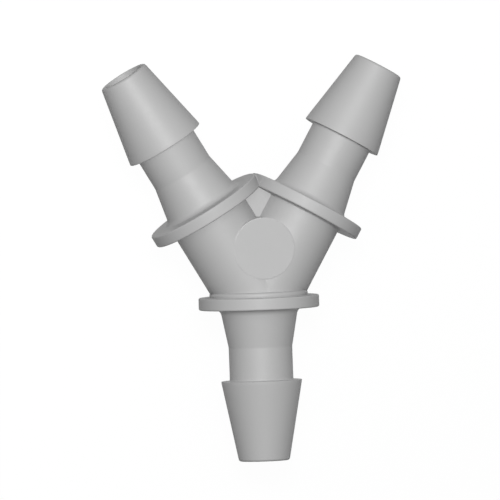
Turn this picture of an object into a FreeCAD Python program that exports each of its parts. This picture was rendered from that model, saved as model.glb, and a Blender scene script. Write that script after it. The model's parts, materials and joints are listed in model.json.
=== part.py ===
"""A moulded plastic Y connector for flexible tubing, in one solid.

Three hose barbs, each behind a round stop flange, leave one junction: the stem along -Y, and two arms
at the same angle on either side of +Y. Their bores meet inside. The fitting lies on the rims of its
three flanges, so the plane of its axes is level, and the round pad on the junction faces up.
"""

import FreeCAD, Part
import math
import os

import Sketcher

NODE = "y_connector"

# Driving sizes in millimetres, and one angle in degrees: alias, value, what it is
SIZES = [
    ("arm_angle", 30.0, "each arm from the centre line"),
    ("bore_radius", 2.0, "through bores of the stem and both arms"),
    ("body_radius", 4.04, "round body of each arm, inside its flange"),
    ("body_length", 9.54, "junction to the inner face of an arm's flange"),
    ("collar_radius", 4.92, "low collar on the inner face of the stem's flange"),
    ("collar_height", 0.5, "low collar on the inner face of the stem's flange"),
    ("flange_radius", 6.03, "stop flanges, and so the height of the axes"),
    ("flange_thickness", 1.23, "stop flanges"),
    ("flange_bevel", 0.15, "edges of the flange rims"),
    ("neck_root_radius", 3.9, "neck where it leaves its flange"),
    ("neck_taper", 3.85, "length of the tapered part of a neck"),
    ("neck_radius", 3.18, "straight part of a neck, where the tubing closes"),
    ("neck_straight", 3.35, "length of the straight part of a neck"),
    ("barb_radius", 4.04, "largest radius of a barb"),
    ("barb_land", 0.3, "straight land at the largest radius"),
    ("barb_taper", 7.75, "length of a barb's tapered part"),
    ("tip_radius", 2.53, "barb at its end face"),
    ("tip_round", 0.28, "outer edge of the end face"),
    ("web_half_thickness", 1.2, "flat web in the crotch, each side of the axes"),
    ("pad_radius", 3.0, "round pad on the front of the junction"),
    ("pad_centre", 4.9, "junction to the middle of the pad"),
]

# A profile's corners, each with its radius and the step along the axis that leads to it
AXIS = ""
LEVEL = ""
FLANGE_TO_TIP = [
    ("flange_radius", LEVEL),
    ("flange_radius", "flange_thickness"),
    ("neck_root_radius", LEVEL),
    ("neck_radius", "neck_taper"),
    ("neck_radius", "neck_straight"),
    ("barb_radius", LEVEL),
    ("barb_radius", "barb_land"),
    ("tip_radius", "barb_taper"),
    (AXIS, LEVEL),
]
ARM = [(AXIS, LEVEL), ("body_radius", LEVEL), ("body_radius", "body_length")] + FLANGE_TO_TIP
STEM = [(AXIS, LEVEL), ("collar_radius", LEVEL), ("collar_radius", "collar_height")] + FLANGE_TO_TIP

STEM_LENGTH = "flange_thickness + neck_taper + neck_straight + barb_land + barb_taper"
ARM_LENGTH = "body_length + " + STEM_LENGTH

# The sketcher's numbers for the ends of a line and for a sketch's own origin and axes
START = 1
END = 2
ORIGIN = (-1, 1)
ACROSS = -1
UPRIGHT = -2

# The two ways an edge is broken, and what each calls its size
FILLET = ("PartDesign::Fillet", "Radius")
CHAMFER = ("PartDesign::Chamfer", "Size")

FULL_TURN = 360
HALF_TURN = 180
QUARTER_TURN = 90
SAME = 1e-4


def add_sheet(doc):
    """The spreadsheet that every sketch and feature is bound to."""
    sheet = doc.addObject("Spreadsheet::Sheet", "Sizes")
    for row, (alias, value, meaning) in enumerate(SIZES, start=1):
        sheet.set(f"A{row}", alias)
        sheet.set(f"B{row}", str(value))
        sheet.set(f"C{row}", meaning)
        sheet.setAlias(f"B{row}", alias)
    doc.recompute()
    return sheet


def amount(sheet, total):
    """What a sum of aliases comes to, for the first place of a line and for finding an edge."""
    return sum(float(sheet.get(alias)) for alias in total.split(" + ") if alias)


def formula(total):
    """The same sum as an expression on the sheet."""
    return " + ".join("Sizes." + alias for alias in total.split(" + "))


def arm_direction(sheet):
    """Unit vector along the arm on the +X side."""
    angle = math.radians(amount(sheet, "arm_angle"))
    return FreeCAD.Vector(math.sin(angle), math.cos(angle), 0)


def origin_plane(body, role):
    """One of the body's own origin planes."""
    return next(feature for feature in body.Origin.OriginFeatures if feature.Role == role)


def add_sketch(body, name, turned=""):
    """A sketch in the plane of the axes. Turned, its upright axis leans that far towards -X."""
    sketch = body.newObject("Sketcher::SketchObject", name)
    sketch.AttachmentSupport = [(origin_plane(body, "XY_Plane"), "")]
    sketch.MapMode = "FlatFace"
    sketch.setExpression("AttachmentOffset.Base.z", formula("flange_radius"))
    if turned:
        sketch.AttachmentOffset.Rotation.Axis = FreeCAD.Vector(0, 0, 1)
        sketch.setExpression("AttachmentOffset.Rotation.Angle", turned)
    return sketch


def bind(sketch, kind, between, expression, start):
    """A dimension that follows the sheet."""
    number = sketch.addConstraint(Sketcher.Constraint(kind, *between, start))
    sketch.setExpression(f"Constraints[{number}]", expression)


def fix(sketch, kind, *between):
    """A constraint with no size."""
    sketch.addConstraint(Sketcher.Constraint(kind, *between))


def add_outline(sketch, spots):
    """Lines from each spot to the next and back to the first, joined end to end."""
    ends = spots[1:] + spots[:1]
    sketch.addGeometry([Part.LineSegment(spot, end) for spot, end in zip(spots, ends)], False)
    for line in range(len(spots)):
        fix(sketch, "Coincident", line, END, (line + 1) % len(spots), START)


def draw_profile(sketch, sheet, corners, level_corner=0):
    """Half a section beside the upright axis. The level corner stands beside the junction."""
    heights = [0.0]
    for radius, step in corners[1:]:
        heights.append(heights[-1] + amount(sheet, step))
    base = heights[level_corner]
    spots = [
        FreeCAD.Vector(amount(sheet, radius), height - base, 0)
        for (radius, step), height in zip(corners, heights)
    ]
    add_outline(sketch, spots)
    fix(sketch, "PointOnObject", level_corner, START, ACROSS)
    for corner, (radius, step) in enumerate(corners):
        before = corner - 1
        if radius == AXIS:
            fix(sketch, "PointOnObject", corner, START, UPRIGHT)
        elif radius == corners[before][0]:
            fix(sketch, "Vertical", before)
        else:
            bind(sketch, "DistanceX", (*ORIGIN, corner, START), formula(radius), amount(sheet, radius))
        if corner and step == LEVEL:
            fix(sketch, "Horizontal", before)
        elif corner:
            ends = (before, START, corner, START)
            bind(sketch, "DistanceY", ends, formula(step), amount(sheet, step))


def add_turned(body, kind, name, sketch):
    """A revolution or a groove, once round the sketch's upright axis."""
    feature = body.newObject(kind, name)
    feature.Profile = sketch
    feature.ReferenceAxis = (sketch, ["V_Axis"])
    feature.Angle = FULL_TURN
    body.Document.recompute()
    return feature


def rings(sheet, shape, direction, radius, along):
    """Names of the circular edges of this radius round a limb, this far out from the junction."""
    axes_height = FreeCAD.Vector(0, 0, amount(sheet, "flange_radius"))
    centre = axes_height + direction * amount(sheet, along)
    found = []
    for number, edge in enumerate(shape.Edges, start=1):
        curve = edge.Curve
        if not isinstance(curve, Part.Circle):
            continue
        if abs(curve.Radius - amount(sheet, radius)) < SAME and (curve.Center - centre).Length < SAME:
            found.append(f"Edge{number}")
    return found


def break_edges(body, way, name, edges, size):
    """A fillet or a chamfer on the named edges of the body as it is so far."""
    kind, measure = way
    base = body.Tip
    feature = body.newObject(kind, name)
    feature.Base = (base, edges)
    feature.setExpression(measure, formula(size))
    body.Document.recompute()


def finish_limb(body, sheet, name, direction, to_flange, to_tip):
    """Bevels on a limb's flange rim and a round at its tip."""
    flange_face = " + ".join(part for part in (to_flange, "flange_thickness") if part)
    breaks = [
        (CHAMFER, "Rim", "flange_radius", [to_flange, flange_face], "flange_bevel"),
        (FILLET, "Tip", "tip_radius", [to_tip], "tip_round"),
    ]
    for way, part, radius, places, size in breaks:
        shape = body.Tip.Shape
        edges = [edge for along in places for edge in rings(sheet, shape, direction, radius, along)]
        break_edges(body, way, name + part, edges, size)


def add_arms(body, sheet):
    """One arm from the junction to its tip, its mirror image, and both cut level with the junction."""
    sketch = add_sketch(body, "ArmProfile", turned="-Sizes.arm_angle")
    draw_profile(sketch, sheet, ARM)
    add_turned(body, "PartDesign::Revolution", "Arm", sketch)
    finish_limb(body, sheet, "Arm", arm_direction(sheet), "body_length", ARM_LENGTH)

    mirrored = body.newObject("PartDesign::Mirrored", "OtherArm")
    mirrored.TransformMode = "Whole shape"
    mirrored.MirrorPlane = (origin_plane(body, "YZ_Plane"), [""])
    body.Tip = mirrored
    body.Document.recompute()

    sketch = add_sketch(body, "BelowJunction")
    wide = amount(sheet, "flange_radius")
    deep = amount(sheet, "body_radius")
    corners = [(-wide, 0), (wide, 0), (wide, -deep), (-wide, -deep)]
    add_outline(sketch, [FreeCAD.Vector(across, along, 0) for across, along in corners])
    for line, kind in enumerate(("Horizontal", "Vertical", "Horizontal", "Vertical")):
        fix(sketch, kind, line)
    fix(sketch, "Symmetric", 0, START, 0, END, *ORIGIN)
    bind(sketch, "DistanceX", (*ORIGIN, 0, END), formula("flange_radius"), wide)
    bind(sketch, "DistanceY", (1, END, 1, START), formula("body_radius"), deep)
    pocket = body.newObject("PartDesign::Pocket", "LevelCut")
    pocket.Profile = sketch
    pocket.Type = "ThroughAll"
    pocket.SideType = "Symmetric"
    body.Document.recompute()


def add_stem(body, sheet):
    """The stem, from the low collar on its flange to its tip."""
    sketch = add_sketch(body, "StemProfile", turned=str(HALF_TURN))
    draw_profile(sketch, sheet, STEM, level_corner=2)
    add_turned(body, "PartDesign::Revolution", "Stem", sketch)
    finish_limb(body, sheet, "Stem", FreeCAD.Vector(0, -1, 0), "", STEM_LENGTH)


def add_web(body, sheet):
    """A flat kite in the crotch, from the junction to the inner faces of both arms' flanges."""
    sketch = add_sketch(body, "WebOutline")
    side = arm_direction(sheet) * amount(sheet, "body_length")
    crotch = FreeCAD.Vector(0, side.Length ** 2 / side.y, 0)
    add_outline(sketch, [FreeCAD.Vector(), side, crotch, FreeCAD.Vector(-side.x, side.y, 0)])
    fix(sketch, "Coincident", 0, START, *ORIGIN)
    fix(sketch, "PointOnObject", 1, END, UPRIGHT)
    fix(sketch, "Symmetric", 0, END, 2, END, UPRIGHT)
    fix(sketch, "Perpendicular", 0, 1)
    lean = math.radians(QUARTER_TURN - amount(sheet, "arm_angle"))
    bind(sketch, "Angle", (0,), f"{QUARTER_TURN} - Sizes.arm_angle", lean)
    bind(sketch, "Distance", (0,), formula("body_length"), side.Length)
    web = body.newObject("PartDesign::Pad", "Web")
    web.Profile = sketch
    web.SideType = "Symmetric"
    web.setExpression("Length", "2 * Sizes.web_half_thickness")
    body.Document.recompute()


def add_pad(body, sheet):
    """The round pad, flush with the crests of both arm bodies."""
    sketch = add_sketch(body, "PadOutline")
    middle = FreeCAD.Vector(0, amount(sheet, "pad_centre"), 0)
    upwards = FreeCAD.Vector(0, 0, 1)
    sketch.addGeometry(Part.Circle(middle, upwards, amount(sheet, "pad_radius")), False)
    centre = (0, 3)
    fix(sketch, "PointOnObject", *centre, UPRIGHT)
    bind(sketch, "DistanceY", (*ORIGIN, *centre), formula("pad_centre"), middle.y)
    bind(sketch, "Radius", (0,), formula("pad_radius"), amount(sheet, "pad_radius"))
    pad = body.newObject("PartDesign::Pad", "FacePad")
    pad.Profile = sketch
    pad.setExpression("Length", formula("body_radius"))
    body.Document.recompute()


def add_bores(body, sheet):
    """The three bores, which meet at the junction."""
    bores = [
        ("StemBore", str(HALF_TURN), STEM_LENGTH),
        ("ArmBore", "-Sizes.arm_angle", ARM_LENGTH),
        ("OtherArmBore", "Sizes.arm_angle", ARM_LENGTH),
    ]
    for name, turned, length in bores:
        sketch = add_sketch(body, name + "Profile", turned)
        corners = [(AXIS, LEVEL), ("bore_radius", LEVEL), ("bore_radius", length), (AXIS, LEVEL)]
        draw_profile(sketch, sheet, corners)
        add_turned(body, "PartDesign::Groove", name, sketch)


def set_down(body):
    """Move the finished fitting so that the middle of its base is the origin."""
    box = body.Shape.optimalBoundingBox(False, False)
    middle = box.Center
    body.Placement.Base = FreeCAD.Vector(-middle.x, -middle.y, -box.ZMin)
    body.Document.recompute()


def check(doc, body):
    """Stop before anything is written if a feature failed or the solid is broken."""
    for thing in doc.Objects:
        if "Invalid" in thing.State or "Error" in thing.State:
            raise RuntimeError(f"{thing.Name} did not compute: {thing.State}")
    shape = body.Shape
    if shape.isNull() or not shape.isValid() or len(shape.Solids) != 1:
        raise RuntimeError(f"{body.Label} is not one sound solid")


def main():
    doc = FreeCAD.newDocument("Connector")
    sheet = add_sheet(doc)
    body = doc.addObject("PartDesign::Body", "Fitting")
    body.Label = NODE
    add_arms(body, sheet)
    add_stem(body, sheet)
    add_web(body, sheet)
    add_pad(body, sheet)
    add_bores(body, sheet)
    doc.recompute()
    set_down(body)
    check(doc, body)
    os.makedirs("parts", exist_ok=True)
    body.Shape.exportStep(f"parts/{NODE}.step")
    print(NODE, "volume", round(body.Shape.Volume, 2), "box", body.Shape.BoundBox)


main()
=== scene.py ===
"""A Y connector for flexible tubing: one grey plastic moulding that lies on its flanges."""
import json
import math
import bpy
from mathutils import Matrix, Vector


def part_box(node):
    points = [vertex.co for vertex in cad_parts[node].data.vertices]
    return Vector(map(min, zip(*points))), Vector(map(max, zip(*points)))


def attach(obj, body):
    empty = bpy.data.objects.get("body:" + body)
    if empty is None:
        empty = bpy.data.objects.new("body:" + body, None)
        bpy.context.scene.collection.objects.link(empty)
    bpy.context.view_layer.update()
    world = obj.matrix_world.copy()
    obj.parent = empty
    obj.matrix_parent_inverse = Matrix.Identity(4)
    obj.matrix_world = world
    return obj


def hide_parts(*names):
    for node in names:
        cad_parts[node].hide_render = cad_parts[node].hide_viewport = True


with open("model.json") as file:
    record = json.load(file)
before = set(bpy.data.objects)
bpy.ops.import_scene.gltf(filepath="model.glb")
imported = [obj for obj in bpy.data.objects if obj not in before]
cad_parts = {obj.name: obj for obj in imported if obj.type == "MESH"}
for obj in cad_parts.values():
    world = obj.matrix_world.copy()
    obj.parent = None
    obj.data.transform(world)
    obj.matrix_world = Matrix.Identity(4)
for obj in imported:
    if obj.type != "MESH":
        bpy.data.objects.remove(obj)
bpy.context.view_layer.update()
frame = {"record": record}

from types import SimpleNamespace

import bpy
from bpy.props import FloatProperty, FloatVectorProperty, IntProperty, PointerProperty
from mathutils import Euler, Vector

bl_info = {
    "name": "Tubing Y Connector",
    "version": (1, 0, 0),
    "blender": (4, 5, 0),
    "location": "3D View > Sidebar > Fitting",
    "description": "Moulds a Y connector for flexible tubing and sets its studio",
    "category": "Object",
}

MILLIMETRE = 0.001
NODE = "y_connector"

# What the frame says: how long the stem is, where the limbs' axes meet and which way the right arm goes.
low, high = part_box(NODE)
mounts = {mount["name"]: mount for mount in frame["record"]["mounts"]}
stem_length = mounts["stem_bore"]["dims"]["length_mm"] * MILLIMETRE
junction = Vector((0.0, low.y + stem_length, (low.z + high.z) / 2))
right_axis = Vector(mounts["right_bore"]["axis"])


class Wire:
    """A node's output. Arithmetic on it adds Math nodes to its tree."""

    def __init__(self, graph, socket):
        self.graph = graph
        self.socket = socket

    def _math(self, operation, *values):
        return self.graph.add("ShaderNodeMath", {"operation": operation}, dict(enumerate(values)))

    def __add__(self, other):
        return self._math("ADD", self, other)

    def __radd__(self, other):
        return self._math("ADD", other, self)

    def __sub__(self, other):
        return self._math("SUBTRACT", self, other)

    def __rsub__(self, other):
        return self._math("SUBTRACT", other, self)

    def __mul__(self, other):
        return self._math("MULTIPLY", self, other)

    def __rmul__(self, other):
        return self._math("MULTIPLY", other, self)

    def __truediv__(self, other):
        return self._math("DIVIDE", self, other)

    def __rtruediv__(self, other):
        return self._math("DIVIDE", other, self)

    def __neg__(self):
        return self._math("SUBTRACT", 0.0, self)

    def maximum(self, other):
        return self._math("MAXIMUM", self, other)

    def above(self, other):
        return self._math("GREATER_THAN", self, other)

    def sine(self):
        return self._math("SINE", self)

    def cosine(self):
        return self._math("COSINE", self)


class Graph:
    """A node tree under construction, of a material, the world or a geometry group."""

    def __init__(self, tree):
        self.tree = tree

    @staticmethod
    def _socket(sockets, key):
        if isinstance(key, int):
            return sockets[key]
        return next(socket for socket in sockets if socket.name == key and socket.enabled)

    def add(self, kind, settings=None, values=None, output=0):
        """Adds a node: first its settings, then its sockets' values or links. Returns one output."""
        node = self.tree.nodes.new(kind)
        for name, setting in (settings or {}).items():
            if name == "cases":
                while len(node.index_switch_items) < setting:
                    node.index_switch_items.new()
            else:
                setattr(node, name, setting)
        for key, value in (values or {}).items():
            socket = self._socket(node.inputs, key)
            for item in value if isinstance(value, list) else [value]:
                if isinstance(item, Wire):
                    self.tree.links.new(item.socket, socket)
                else:
                    socket.default_value = item
        if not node.outputs:
            return None
        return Wire(self, self._socket(node.outputs, output))


def own_graph(holder):
    """The graph of a material's or a world's own nodes, emptied first."""
    holder.use_nodes = True
    holder.node_tree.nodes.clear()
    return Graph(holder.node_tree)


def title(alias):
    """The name that a size has in a node group or a panel."""
    return alias.replace("_", " ").title()


def size(alias, description, millimetres, lowest=0.0):
    """A length property, in metres, whose default is given in millimetres."""
    return FloatProperty(
        name=title(alias), description=description, default=millimetres * MILLIMETRE,
        min=lowest, precision=5, subtype="DISTANCE", unit="LENGTH",
    )


def angle(alias, description, radians):
    """An angle property."""
    return FloatProperty(
        name=title(alias), description=description, default=radians, subtype="ANGLE", unit="ROTATION",
    )


class FittingSizes(bpy.types.PropertyGroup):
    """Sizes of the moulding. Lengths run along a limb's axis and radii are measured from it."""

    arm_angle: angle(
        "arm_angle", "Angle between an arm and the stem's line", math.atan2(right_axis.x, right_axis.y),
    )
    bore_radius: size("bore_radius", "Radius of the three bores", mounts["stem_bore"]["dims"]["r_mm"])
    body_radius: size("body_radius", "Radius of an arm between the junction and its flange", 4.04)
    body_length: size("body_length", "Length of an arm from the junction to its flange", 9.54)
    collar_radius: size("collar_radius", "Radius of the collar above the stem's flange", 4.92)
    collar_height: size("collar_height", "Height of that collar", 0.5)
    collar_round: size("collar_round", "Rounding of the collar's upper edge", 0.25)
    collar_undercut: size("collar_undercut", "How far the collar is drawn in at its flange", 0.08)
    flange_radius: size("flange_radius", "Radius of each stop flange", (high.z - low.z) / 2 / MILLIMETRE)
    flange_thickness: size("flange_thickness", "Thickness of each stop flange", 1.23)
    neck_root_radius: size("neck_root_radius", "Radius of a neck where it leaves its flange", 3.9)
    neck_taper: size("neck_taper", "Length over which a neck narrows", 3.85)
    neck_radius: size("neck_radius", "Radius of the straight neck, where the tubing closes", 3.18)
    neck_straight: size("neck_straight", "Length of the straight neck", 3.35)
    barb_radius: size("barb_radius", "Largest radius of a barb", mounts["stem_barb"]["dims"]["r_mm"])
    barb_land: size(
        "barb_land", "Length of a barb's largest part", mounts["stem_barb"]["dims"]["length_mm"],
    )
    land_slope: size("land_slope", "How much narrower that part is at its outer end", 0.04)
    barb_taper: size("barb_taper", "Length over which a barb narrows to its tip", 7.75)
    tip_radius: size("tip_radius", "Radius of a tip", 2.53)
    web_half_thickness: size("web_half_thickness", "Half the thickness of the web between the arms", 1.2)
    bead_radius: size("bead_radius", "Radius of the bead in the notch between the arms' flanges", 0.2)
    pad_radius: size("pad_radius", "Radius of the foot of the bare round pad on the front", 3.12)
    pad_centre: size("pad_centre", "Distance from the junction to the middle of the pad", 4.9)
    pad_rise: size("pad_rise", "How far the pad stands above the arms' crests", 0.02)
    pad_slope: size("pad_slope", "Width of the slope round the pad, down to the crests", 0.12)
    pad_lean: angle(
        "pad_lean", "How far the pad leans, so that its right side stands higher", math.radians(0.4),
    )
    pad_round: size("pad_round", "Rounding of the pad's edge", 0.02)
    corner_round: size("corner_round", "Rounding in the corner between a body and its flange", 0.1)
    rim_round: size("rim_round", "Rounding of a flange's two edges", 0.16)
    root_round: size("root_round", "Rounding between a flange and its neck", 0.7)
    neck_blend: size("neck_blend", "Blend between a neck's tapered and straight parts", 1.0)
    barb_corner: size("barb_corner", "Rounding of the corner where a neck meets its barb", 0.2)
    barb_round: size("barb_round", "Rounding of a barb's edge", 0.05)
    land_blend: size("land_blend", "Blend between a barb's largest part and its taper", 2.5)
    tip_round: size("tip_round", "Rounding of a tip's outer edge", 0.28)
    mouth_bevel: size("mouth_bevel", "Depth of the worn bevel at each bore's mouth", 0.06)
    segments: IntProperty(name="Segments", description="Sides of every turned form", default=160, min=24)
    round_steps: IntProperty(name="Round Steps", description="Steps in every rounding", default=5, min=1)


class PlasticFinish(bpy.types.PropertyGroup):
    """Colour and surface of the moulded plastic."""

    colour: FloatVectorProperty(
        name="Colour", description="Colour of the plastic", subtype="COLOR", size=3, min=0.0, max=1.0,
        default=(0.39, 0.39, 0.39),
    )
    shade_change: FloatProperty(
        name="Shade Change", description="How far the flow of the plastic lightens and darkens it",
        default=0.03, min=0.0, max=1.0, subtype="FACTOR",
    )
    roughness: FloatProperty(
        name="Roughness", description="Roughness of the moulded skin", default=0.53, min=0.0, max=1.0,
        subtype="FACTOR",
    )
    grain_depth: size("grain_depth", "Depth of the mould's fine grain", 0.002)


class StudioSettings(bpy.types.PropertyGroup):
    """The camera's place and the light."""

    view_width: size("view_width", "Width of what the camera sees", 50.0)
    tilt: angle("tilt", "The camera's turn about X", math.radians(-1.87))
    lean: angle("lean", "The camera's turn about Y", math.radians(-10.64))
    turn: angle("turn", "The camera's turn about Z", math.radians(-2.06))
    aim_right: size(
        "aim_right", "How far right of the junction the view's middle is", -0.866, lowest=-1.0,
    )
    aim_up: size("aim_up", "How far above the junction the view's middle is", 4.612, lowest=-1.0)
    key_power: FloatProperty(
        name="Key Power", description="Power of the soft light above the object", subtype="POWER",
        unit="POWER", default=1.72, min=0.0,
    )
    ambient: FloatProperty(
        name="Ambient", description="Brightness of the room round the object", default=0.14, min=0.0,
    )


COUNTS = ("segments", "round_steps")
LIMB_SIZES = (
    "body_radius", "body_length", "body_undercut", "body_round", "corner_round",
    "flange_radius", "flange_thickness", "rim_round", "neck_root_radius", "root_round",
    "neck_taper", "neck_radius", "neck_straight", "neck_blend",
    "barb_radius", "barb_land", "land_slope", "barb_taper", "barb_corner", "barb_round", "land_blend",
    "tip_radius", "tip_round", "segments", "round_steps",
)


def geometry_group(name, sizes):
    """A geometry group with one named input for each size, an integer where the size is a count."""
    tree = bpy.data.node_groups.new(name, "GeometryNodeTree")
    tree.interface.new_socket("Geometry", in_out="OUTPUT", socket_type="NodeSocketGeometry")
    for alias in sizes:
        kind = "NodeSocketInt" if alias in COUNTS else "NodeSocketFloat"
        tree.interface.new_socket(title(alias), in_out="INPUT", socket_type=kind)
    graph = Graph(tree)
    entry = tree.nodes.new("NodeGroupInput")
    wires = {alias: Wire(graph, entry.outputs[title(alias)]) for alias in sizes}
    return graph, SimpleNamespace(**wires)


def rounded_line(graph, corners, round_steps):
    """A curve through corners, each given as X, Y and its rounding. A profile has its radii on X."""
    index = graph.add("GeometryNodeInputIndex")
    places = {"Index": index}
    roundings = {"Index": index}
    for number, (x, y, rounding) in enumerate(corners, start=1):
        places[number] = graph.add("ShaderNodeCombineXYZ", None, {"X": x, "Y": y})
        roundings[number] = rounding
    cases = len(corners)
    place = graph.add("GeometryNodeIndexSwitch", {"data_type": "VECTOR", "cases": cases}, places)
    rounding = graph.add("GeometryNodeIndexSwitch", {"data_type": "FLOAT", "cases": cases}, roundings)
    line = graph.add("GeometryNodeMeshLine", None, {"Count": cases})
    points = graph.add("GeometryNodeSetPosition", None, {"Geometry": line, "Position": place})
    curve = graph.add("GeometryNodeMeshToCurve", None, {"Mesh": points})
    return graph.add(
        "GeometryNodeFilletCurve", {"mode": "POLY"},
        {"Curve": curve, "Radius": rounding, "Count": round_steps, "Limit Radius": True},
    )


# The circle that forms are swept along, and how near to each other two points become one: on a form's
# axis, and along the seams of a cut.
LATHE_RADIUS = 10.0 * MILLIMETRE
POLE_DISTANCE = 0.001 * MILLIMETRE
WELD_DISTANCE = 0.0005 * MILLIMETRE


def circle(graph, radius, sides):
    """A round curve in the XY plane, about the origin."""
    return graph.add(
        "GeometryNodeCurvePrimitiveCircle", {"mode": "RADIUS"}, {"Resolution": sides, "Radius": radius},
    )


def swept(graph, profile, path, closed=True):
    """The surface that a profile leaves along a path, with its two ends closed or left open."""
    return graph.add(
        "GeometryNodeCurveToMesh", None, {"Curve": path, "Profile Curve": profile, "Fill Caps": closed},
    )


def turned(graph, corners, segments, round_steps):
    """A closed form turned about Z from corners that start and end on the axis and run downwards.

    The sweep shifts its profile outwards by the radius of the circle that it follows, so the
    profile is shifted inwards first.
    """
    profile = graph.add(
        "GeometryNodeSetPosition", None,
        {"Geometry": rounded_line(graph, corners, round_steps), "Offset": (-LATHE_RADIUS, 0.0, 0.0)},
    )
    form = swept(graph, profile, circle(graph, LATHE_RADIUS, segments), closed=False)
    return graph.add("GeometryNodeMergeByDistance", None, {"Geometry": form, "Distance": POLE_DISTANCE})


def turned_limb():
    """The group that turns one limb, from its inner end at the origin down to its tip.

    At its flange the body is narrower by the undercut, or flares where that is negative.
    """
    graph, limb = geometry_group("Turned Limb", LIMB_SIZES)
    flange = limb.body_length + limb.flange_thickness
    straight = flange + limb.neck_taper
    barb = straight + limb.neck_straight
    taper = barb + limb.barb_land
    tip = taper + limb.barb_taper
    corners = [
        (0.0, 0.0, 0.0),
        (limb.body_radius, 0.0, limb.body_round),
        (limb.body_radius, limb.body_length - limb.corner_round, limb.corner_round),
        (limb.body_radius - limb.body_undercut, limb.body_length, limb.corner_round),
        (limb.flange_radius, limb.body_length, limb.rim_round),
        (limb.flange_radius, flange, limb.rim_round),
        (limb.neck_root_radius, flange, limb.root_round),
        (limb.neck_radius, straight, limb.neck_blend),
        (limb.neck_radius, barb, limb.barb_corner),
        (limb.barb_radius, barb, limb.barb_round),
        (limb.barb_radius - limb.land_slope, taper, limb.land_blend),
        (limb.tip_radius, tip, limb.tip_round),
        (0.0, tip, 0.0),
    ]
    form = turned(graph, corners, limb.segments, limb.round_steps)
    graph.add("NodeGroupOutput", None, {"Geometry": form})
    return graph.tree


ZERO = (0.0, 0.0, 0.0)
# A part shows the outside of its own surface, and a tool leaves a wall that is seen from inside.
OUTSIDE = 1.0
INSIDE = -1.0
# The attributes that say which part a face belongs to, and which way a part's skin faces.
PART = "part"
SKIN = "skin"
CRISP_ANGLE = math.radians(40)


def placed(graph, mesh, place=ZERO, turn=ZERO):
    """The mesh turned by Euler angles and then moved."""
    return graph.add(
        "GeometryNodeTransform", None, {"Geometry": mesh, "Translation": place, "Rotation": turn},
    )


def numbered(graph, mesh, number):
    """The mesh with its part's number on each face."""
    return graph.add(
        "GeometryNodeStoreNamedAttribute", {"data_type": "INT", "domain": "FACE"},
        {"Geometry": mesh, "Name": PART, "Value": number},
    )


def skinned(graph, mesh, side):
    """The mesh split along its crisp edges, with the way its skin faces at each point.

    Long faces count for more than short ones, so a rounding doesn't tilt the shading of a straight
    run beside it. The side is the inside for a tool, whose skin is the wall of what it cuts.
    """
    crisp = graph.add("GeometryNodeInputMeshEdgeAngle", output="Unsigned Angle").above(CRISP_ANGLE)
    split = graph.add("GeometryNodeSplitEdges", None, {"Mesh": mesh, "Selection": crisp})
    weighted = graph.add("ShaderNodeVectorMath", {"operation": "SCALE"}, {
        0: graph.add("GeometryNodeInputNormal"),
        "Scale": side * graph.add("GeometryNodeInputMeshFaceArea"),
    })
    by_face = graph.add(
        "GeometryNodeFieldOnDomain", {"data_type": "FLOAT_VECTOR", "domain": "FACE"},
        {"Value": weighted},
    )
    skin = graph.add("ShaderNodeVectorMath", {"operation": "NORMALIZE"}, {0: by_face})
    return graph.add(
        "GeometryNodeStoreNamedAttribute", {"data_type": "FLOAT_VECTOR", "domain": "POINT"},
        {"Geometry": split, "Name": SKIN, "Value": skin},
    )


def joined(graph, meshes):
    """Meshes fused into one."""
    return graph.add(
        "GeometryNodeMeshBoolean", {"operation": "UNION", "solver": "MANIFOLD"}, {"Mesh": meshes},
    )


def cut(graph, mesh, tools):
    """The mesh without what the tools take away."""
    return graph.add(
        "GeometryNodeMeshBoolean", {"operation": "DIFFERENCE", "solver": "MANIFOLD"},
        {"Mesh 1": mesh, "Mesh 2": tools},
    )


def welded(graph, mesh):
    """The mesh without the slivers that the cuts leave along their seams, and without loose points."""
    closed = graph.add(
        "GeometryNodeMergeByDistance", None, {"Geometry": mesh, "Distance": WELD_DISTANCE},
    )
    faces = graph.add("GeometryNodeInputMeshVertexNeighbors", output="Face Count")
    return graph.add(
        "GeometryNodeDeleteGeometry", {"domain": "POINT"},
        {"Geometry": closed, "Selection": (1.0 - faces).maximum(0.0)},
    )


def shaded(graph, mesh, skins):
    """The mesh with the shading of the parts that it was made of, which stays crisp where two meet."""
    number = graph.add("GeometryNodeInputNamedAttribute", {"data_type": "INT"}, {"Name": PART})
    skin = graph.add("GeometryNodeInputNamedAttribute", {"data_type": "FLOAT_VECTOR"}, {"Name": SKIN})
    facing = graph.add("GeometryNodeSampleNearestSurface", {"data_type": "FLOAT_VECTOR"}, {
        "Mesh": graph.add("GeometryNodeJoinGeometry", None, {"Geometry": skins}),
        "Value": skin,
        "Group ID": number,
        "Sample Position": graph.add("GeometryNodeInputPosition"),
        "Sample Group ID": number,
    })
    return graph.add(
        "GeometryNodeSetMeshNormal", {"mode": "FREE", "domain": "CORNER"},
        {"Mesh": mesh, "Custom Normal": facing},
    )


QUARTER = math.pi / 2
# How wide the block is that levels the arms, in radii of a flange.
BLOCK_WIDTH = 4.0
# How far a bore's tool goes on past the tip, in depths of its bevel.
BORE_OVERRUN = 2.0
# The bead's line follows the flanges' rims to both sides of the limbs' plane. It lies deeper towards its
# ends, by a share of the flange's radius, and higher all along, by a share of its own radius.
BEAD_REACH = math.radians(19)
BEAD_SINK = 0.24
BEAD_LIFT = 0.35
BEAD_STEPS = 8
BEAD_SIDES = 24


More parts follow.
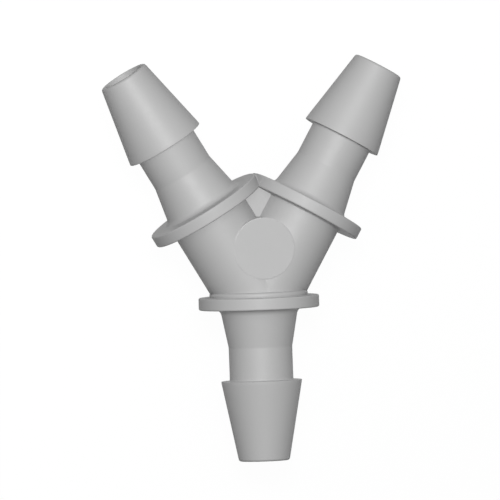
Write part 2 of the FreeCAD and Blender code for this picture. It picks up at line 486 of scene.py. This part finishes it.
class Moulding:
    """The group that makes the whole fitting, built part by part round the junction."""

    def __init__(self):
        self.graph, self.sizes = geometry_group("Y Connector Moulding", FittingSizes.__annotations__)
        self.limb_tree = turned_limb()
        self.skins = []
        # A turned form points down, so a quarter turn lays it along the stem, or along an arm.
        self.down = (-QUARTER, 0.0, 0.0)
        self.up_left = self.vector(QUARTER, 0.0, self.sizes.arm_angle)
        self.up_right = self.vector(QUARTER, 0.0, -self.sizes.arm_angle)

    def vector(self, x=0.0, y=0.0, z=0.0):
        """A vector of numbers and wires."""
        return self.graph.add("ShaderNodeCombineXYZ", None, {"X": x, "Y": y, "Z": z})

    def part(self, form, place=ZERO, turn=ZERO, side=OUTSIDE):
        """The form in its place, with the next part's number. Its skin is kept for the shading."""
        mesh = numbered(self.graph, placed(self.graph, form, place, turn), len(self.skins) + 1)
        self.skins.append(skinned(self.graph, mesh, side))
        return mesh

    def limb(self, **own):
        """A turned limb. The sizes given here are its own, and the fitting gives the rest."""
        sizes = {**vars(self.sizes), **own}
        values = {title(alias): sizes[alias] for alias in LIMB_SIZES}
        return self.graph.add("GeometryNodeGroup", {"node_tree": self.limb_tree}, values)

    def stem(self):
        """The stem, whose body is a low collar that ends above the junction."""
        sizes = self.sizes
        form = self.limb(
            body_radius=sizes.collar_radius, body_length=sizes.collar_height,
            body_round=sizes.collar_round, body_undercut=sizes.collar_undercut,
        )
        return self.part(form, self.vector(y=sizes.collar_height), self.down)

    def arms(self):
        """Both arms, which flare a little into their flanges and end level with the junction."""
        sizes = self.sizes
        arms = [
            self.part(self.limb(body_round=0.0, body_undercut=-sizes.corner_round), turn=turn)
            for turn in (self.up_left, self.up_right)
        ]
        width = BLOCK_WIDTH * sizes.flange_radius
        block = self.graph.add("GeometryNodeMeshCube", None, {"Size": self.vector(width, width, width)})
        below = self.part(block, self.vector(y=-0.5 * width), side=INSIDE)
        return cut(self.graph, joined(self.graph, arms), below)

    def web(self):
        """The flat web in the crotch: a kite from the junction to the middle of the arms' flanges."""
        sizes = self.sizes
        reach = sizes.body_length + 0.5 * sizes.flange_thickness
        rise = reach * sizes.arm_angle.cosine()
        kite = self.graph.add("GeometryNodeCurvePrimitiveQuadrilateral", {"mode": "KITE"}, {
            "Width": 2.0 * reach * sizes.arm_angle.sine(),
            "Bottom Height": rise,
            "Top Height": reach / sizes.arm_angle.cosine() - rise,
        })
        height = self.graph.add("GeometryNodeCurvePrimitiveLine", None, {
            "Start": self.vector(z=-sizes.web_half_thickness),
            "End": self.vector(z=sizes.web_half_thickness),
        })
        return self.part(swept(self.graph, kite, height), self.vector(y=rise))

    def bead(self):
        """The bead that fills the notch where the rims of the arms' flanges meet."""
        sizes = self.sizes
        corners = []
        for step in range(-BEAD_STEPS, BEAD_STEPS + 1):
            turn = BEAD_REACH * step / BEAD_STEPS
            across = sizes.flange_radius * math.sin(turn)
            along = sizes.flange_radius * (math.cos(turn) - BEAD_SINK * math.sin(turn) ** 2)
            lifted = along / sizes.arm_angle.sine() + BEAD_LIFT * sizes.bead_radius
            corners.append((lifted, across, 0.0))
        line = rounded_line(self.graph, corners, 1)
        ring = circle(self.graph, sizes.bead_radius, BEAD_SIDES)
        return self.part(swept(self.graph, ring, line), turn=(QUARTER, 0.0, QUARTER))

    def pad(self):
        """The bare round pad, a disc whose foot is level with the arms' crests."""
        sizes = self.sizes
        top = -(sizes.body_radius + sizes.pad_rise)
        corners = [
            (0.0, top, 0.0),
            (sizes.pad_radius - sizes.pad_slope, top, sizes.pad_round),
            (sizes.pad_radius, -sizes.body_radius, sizes.pad_round),
            (sizes.pad_radius, 0.0, 0.0),
            (0.0, 0.0, 0.0),
        ]
        disc = turned(self.graph, corners, sizes.segments, sizes.round_steps)
        return self.part(disc, self.vector(y=sizes.pad_centre), self.vector(y=-sizes.pad_lean))

    def bore(self, tip, turn):
        """The tool for one bore, from the junction to its limb's tip, where it opens out a little."""
        sizes = self.sizes
        bevel = sizes.mouth_bevel
        past = tip + BORE_OVERRUN * bevel
        corners = [
            (0.0, 0.0, 0.0),
            (sizes.bore_radius, 0.0, 0.0),
            (sizes.bore_radius, tip - bevel, bevel),
            (sizes.bore_radius + (1.0 + BORE_OVERRUN) * bevel, past, 0.0),
            (0.0, past, 0.0),
        ]
        form = turned(self.graph, corners, sizes.segments, sizes.round_steps)
        return self.part(form, turn=turn, side=INSIDE)

    def bores(self):
        """The three bores' tools, which meet at the junction."""
        sizes = self.sizes
        neck = sizes.flange_thickness + sizes.neck_taper + sizes.neck_straight
        stem_tip = neck + (sizes.barb_land + sizes.barb_taper)
        arm_tip = sizes.body_length + stem_tip
        ends = ((stem_tip, self.down), (arm_tip, self.up_left), (arm_tip, self.up_right))
        return joined(self.graph, [self.bore(tip, turn) for tip, turn in ends])

    def finished(self, material):
        """The group with its parts fused, bored, shaded and laid where the frame has the fitting."""
        stem = self.stem()
        solid = joined(self.graph, [self.arms(), stem, self.web(), self.bead(), self.pad()])
        bored = welded(self.graph, cut(self.graph, solid, self.bores()))
        resting = placed(self.graph, shaded(self.graph, bored, self.skins), tuple(junction))
        real = self.graph.add("GeometryNodeRealizeInstances", None, {"Geometry": resting})
        dressed = self.graph.add(
            "GeometryNodeSetMaterial", None, {"Geometry": real, "Material": material},
        )
        self.graph.add("NodeGroupOutput", None, {"Geometry": dressed})
        return self.graph.tree


# How many features the plastic's three noises have in a metre.
FLOW_SCALE = 180.0
SKIN_SCALE = 1500.0
GRAIN_SCALE = 6000.0
# How far the roughness changes over the skin, from its lowest to its highest.
ROUGHNESS_SPREAD = 0.1
PLASTIC_IOR = 1.46


def noise(graph, place, scale, detail, roughness, distortion=0.0):
    """Noise between 0 and 1 that fills the space."""
    return graph.add("ShaderNodeTexNoise", {"noise_dimensions": "3D"}, {
        "Vector": place, "Scale": scale, "Detail": detail, "Roughness": roughness,
        "Distortion": distortion,
    }, output="Fac")


def moulded_plastic(finish):
    """Grey plastic with a satin skin, the mould's fine grain and faint flow in its colour."""
    material = bpy.data.materials.new("moulded_plastic")
    graph = own_graph(material)
    place = graph.add("ShaderNodeTexCoord", output="Object")
    flow = noise(graph, place, FLOW_SCALE, detail=3.0, roughness=0.5, distortion=0.6)
    skin = noise(graph, place, SKIN_SCALE, detail=2.0, roughness=0.5)
    grain = noise(graph, place, GRAIN_SCALE, detail=2.0, roughness=0.6)
    dark = tuple(channel * (1.0 - finish.shade_change) for channel in finish.colour)
    light = tuple(channel * (1.0 + finish.shade_change) for channel in finish.colour)
    colour = graph.add("ShaderNodeMix", {"data_type": "RGBA"}, {
        "Factor": flow, "A": (*dark, 1.0), "B": (*light, 1.0),
    }, output="Result")
    roughness = (finish.roughness - ROUGHNESS_SPREAD / 2) + ROUGHNESS_SPREAD * skin
    normal = graph.add("ShaderNodeBump", None, {
        "Strength": 1.0, "Distance": finish.grain_depth, "Height": grain,
    })
    plastic = graph.add("ShaderNodeBsdfPrincipled", None, {
        "Base Color": colour, "Roughness": roughness, "Normal": normal, "IOR": PLASTIC_IOR,
    })
    graph.add("ShaderNodeOutputMaterial", None, {"Surface": plastic})
    return material


class TUBINGFITTING_OT_mould(bpy.types.Operator):
    """Moulds the fitting in one piece, in place of the frame's solid"""

    bl_idname = "tubing_fitting.mould"
    bl_label = "Mould the Fitting"

    def execute(self, context):
        sizes = context.scene.fitting_sizes
        tree = Moulding().finished(moulded_plastic(context.scene.plastic_finish))
        blank = bpy.data.meshes.new("moulding")
        piece = bpy.data.objects.new("moulding", blank)
        context.scene.collection.objects.link(piece)
        modifier = piece.modifiers.new("Moulding", "NODES")
        modifier.node_group = tree
        inputs = [item for item in tree.interface.items_tree if item.in_out == "INPUT"]
        identifiers = {item.name: item.identifier for item in inputs}
        for alias in FittingSizes.__annotations__:
            modifier[identifiers[title(alias)]] = getattr(sizes, alias)
        evaluated = piece.evaluated_get(context.evaluated_depsgraph_get())
        mesh = bpy.data.meshes.new_from_object(evaluated)
        if not mesh.polygons:
            raise RuntimeError("the moulding came out empty")
        piece.modifiers.clear()
        piece.data = mesh
        bpy.data.meshes.remove(blank)
        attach(piece, "root")
        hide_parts(NODE)
        return {"FINISHED"}


# The studio's distances are in metres. The light comes from a little above the view's own direction.
FLOOR_HALF_WIDTH = 0.6
CAMERA_DISTANCE = 0.3
CAMERA_CLIP = (0.01, 2.0)
LIGHT_DIRECTION = Vector((0.0, 0.25, 0.968))
LAMP_DISTANCE = 0.4
LAMP_WIDTH = 0.12
# The share of the light that throws a shadow, small because the object is to lie almost without one.
SHADOW_SHARE = 0.1
# The floor is nearly black where it isn't seen, so that no light bounces up at the object. Where it is
# seen it is pale, and mostly lit from within.
FLOOR_UNSEEN = 0.05
FLOOR_SEEN = 0.92
FLOOR_GLOW = 0.85


def grey(shade):
    """An opaque grey."""
    return (shade, shade, shade, 1.0)


def seen_directly(graph):
    """1 for rays from the camera, and for what gloss or glass shows of the surroundings."""
    camera, gloss, glass = (
        graph.add("ShaderNodeLightPath", output=name)
        for name in ("Is Camera Ray", "Is Glossy Ray", "Is Transmission Ray")
    )
    return camera.maximum(gloss).maximum(glass)


def floor_paper():
    """White paper that shows the object's soft shadow."""
    material = bpy.data.materials.new("floor_paper")
    graph = own_graph(material)
    seen = seen_directly(graph)
    shade = graph.add("ShaderNodeMix", {"data_type": "RGBA"}, {
        "Factor": seen, "A": grey(FLOOR_UNSEEN), "B": grey(FLOOR_SEEN),
    }, output="Result")
    paper = graph.add("ShaderNodeBsdfDiffuse", None, {"Color": shade})
    white = graph.add("ShaderNodeEmission", None, {"Color": grey(1.0), "Strength": 1.0})
    mixed = graph.add("ShaderNodeMixShader", None, {"Fac": FLOOR_GLOW * seen, 1: paper, 2: white})
    graph.add("ShaderNodeOutputMaterial", None, {"Surface": mixed})
    return material


def lay_floor(scene):
    """A plain square floor under the object."""
    half = FLOOR_HALF_WIDTH
    corners = [(-half, -half, 0.0), (half, -half, 0.0), (half, half, 0.0), (-half, half, 0.0)]
    mesh = bpy.data.meshes.new("floor")
    mesh.from_pydata(corners, [], [(0, 1, 2, 3)])
    mesh.materials.append(floor_paper())
    floor = bpy.data.objects.new("floor", mesh)
    scene.collection.objects.link(floor)


def view_turn(studio):
    """The camera's turn from looking straight down."""
    return Euler((studio.tilt, studio.lean, studio.turn), "XYZ")


def set_camera(scene, studio):
    """A camera without perspective, aimed beside the junction."""
    turn = view_turn(studio)
    data = bpy.data.cameras.new("camera")
    data.type = "ORTHO"
    data.ortho_scale = studio.view_width
    data.clip_start, data.clip_end = CAMERA_CLIP
    camera = bpy.data.objects.new("camera", data)
    aim = Vector((studio.aim_right, studio.aim_up, CAMERA_DISTANCE))
    camera.location = junction + turn.to_matrix() @ aim
    camera.rotation_euler = turn
    scene.collection.objects.link(camera)
    scene.camera = camera


def set_lamp(scene, name, toward, power, shadow):
    """A square soft lamp that faces the junction."""
    light = bpy.data.lights.new(name, "AREA")
    light.shape = "SQUARE"
    light.size = LAMP_WIDTH
    light.energy = power
    light.use_shadow = shadow
    holder = bpy.data.objects.new(name, light)
    holder.location = junction + toward * LAMP_DISTANCE
    holder.rotation_euler = (-toward).to_track_quat("-Z", "Y").to_euler()
    scene.collection.objects.link(holder)


def set_light(scene, studio):
    """The soft light from above, shared by a lamp that throws a shadow and one that doesn't."""
    toward = (view_turn(studio).to_matrix() @ LIGHT_DIRECTION).normalized()
    set_lamp(scene, "key", toward, SHADOW_SHARE * studio.key_power, shadow=True)
    set_lamp(scene, "fill", toward, (1.0 - SHADOW_SHARE) * studio.key_power, shadow=False)
    # The steep walls would otherwise mirror the lamps into the valleys as blotches of light.
    scene.cycles.caustics_reflective = False


def set_room(scene, studio):
    """A room that is white where it is seen and dim for the object."""
    world = bpy.data.worlds.new("room")
    graph = own_graph(world)
    strength = studio.ambient + (1.0 - studio.ambient) * seen_directly(graph)
    room = graph.add("ShaderNodeBackground", None, {"Color": grey(1.0), "Strength": strength})
    graph.add("ShaderNodeOutputWorld", None, {"Surface": room})
    scene.world = world


class TUBINGFITTING_OT_stage(bpy.types.Operator):
    """Lays the floor and sets the camera, the light and the room"""

    bl_idname = "tubing_fitting.stage"
    bl_label = "Set the Stage"

    def execute(self, context):
        scene = context.scene
        studio = scene.studio_settings
        lay_floor(scene)
        set_camera(scene, studio)
        set_light(scene, studio)
        set_room(scene, studio)
        scene.view_settings.view_transform = "Standard"
        return {"FINISHED"}


class TUBINGFITTING_PT_panel(bpy.types.Panel):
    """Lists the fitting's sizes, its finish, the studio's settings and the two steps"""

    bl_idname = "TUBINGFITTING_PT_panel"
    bl_label = "Tubing Y Connector"
    bl_space_type = "VIEW_3D"
    bl_region_type = "UI"
    bl_category = "Fitting"

    def draw(self, context):
        scene = context.scene
        for settings in (scene.fitting_sizes, scene.plastic_finish, scene.studio_settings):
            box = self.layout.box()
            for name in type(settings).__annotations__:
                box.prop(settings, name)
        self.layout.operator(TUBINGFITTING_OT_mould.bl_idname)
        self.layout.operator(TUBINGFITTING_OT_stage.bl_idname)


CLASSES = (
    FittingSizes,
    PlasticFinish,
    StudioSettings,
    TUBINGFITTING_OT_mould,
    TUBINGFITTING_OT_stage,
    TUBINGFITTING_PT_panel,
)


def register():
    for cls in CLASSES:
        bpy.utils.register_class(cls)
    bpy.types.Scene.fitting_sizes = PointerProperty(type=FittingSizes)
    bpy.types.Scene.plastic_finish = PointerProperty(type=PlasticFinish)
    bpy.types.Scene.studio_settings = PointerProperty(type=StudioSettings)


def unregister():
    del bpy.types.Scene.studio_settings
    del bpy.types.Scene.plastic_finish
    del bpy.types.Scene.fitting_sizes
    for cls in reversed(CLASSES):
        bpy.utils.unregister_class(cls)


def main():
    """Makes the fitting and its stage."""
    register()
    bpy.ops.tubing_fitting.mould()
    bpy.ops.tubing_fitting.stage()


if __name__ == "__main__":
    main()
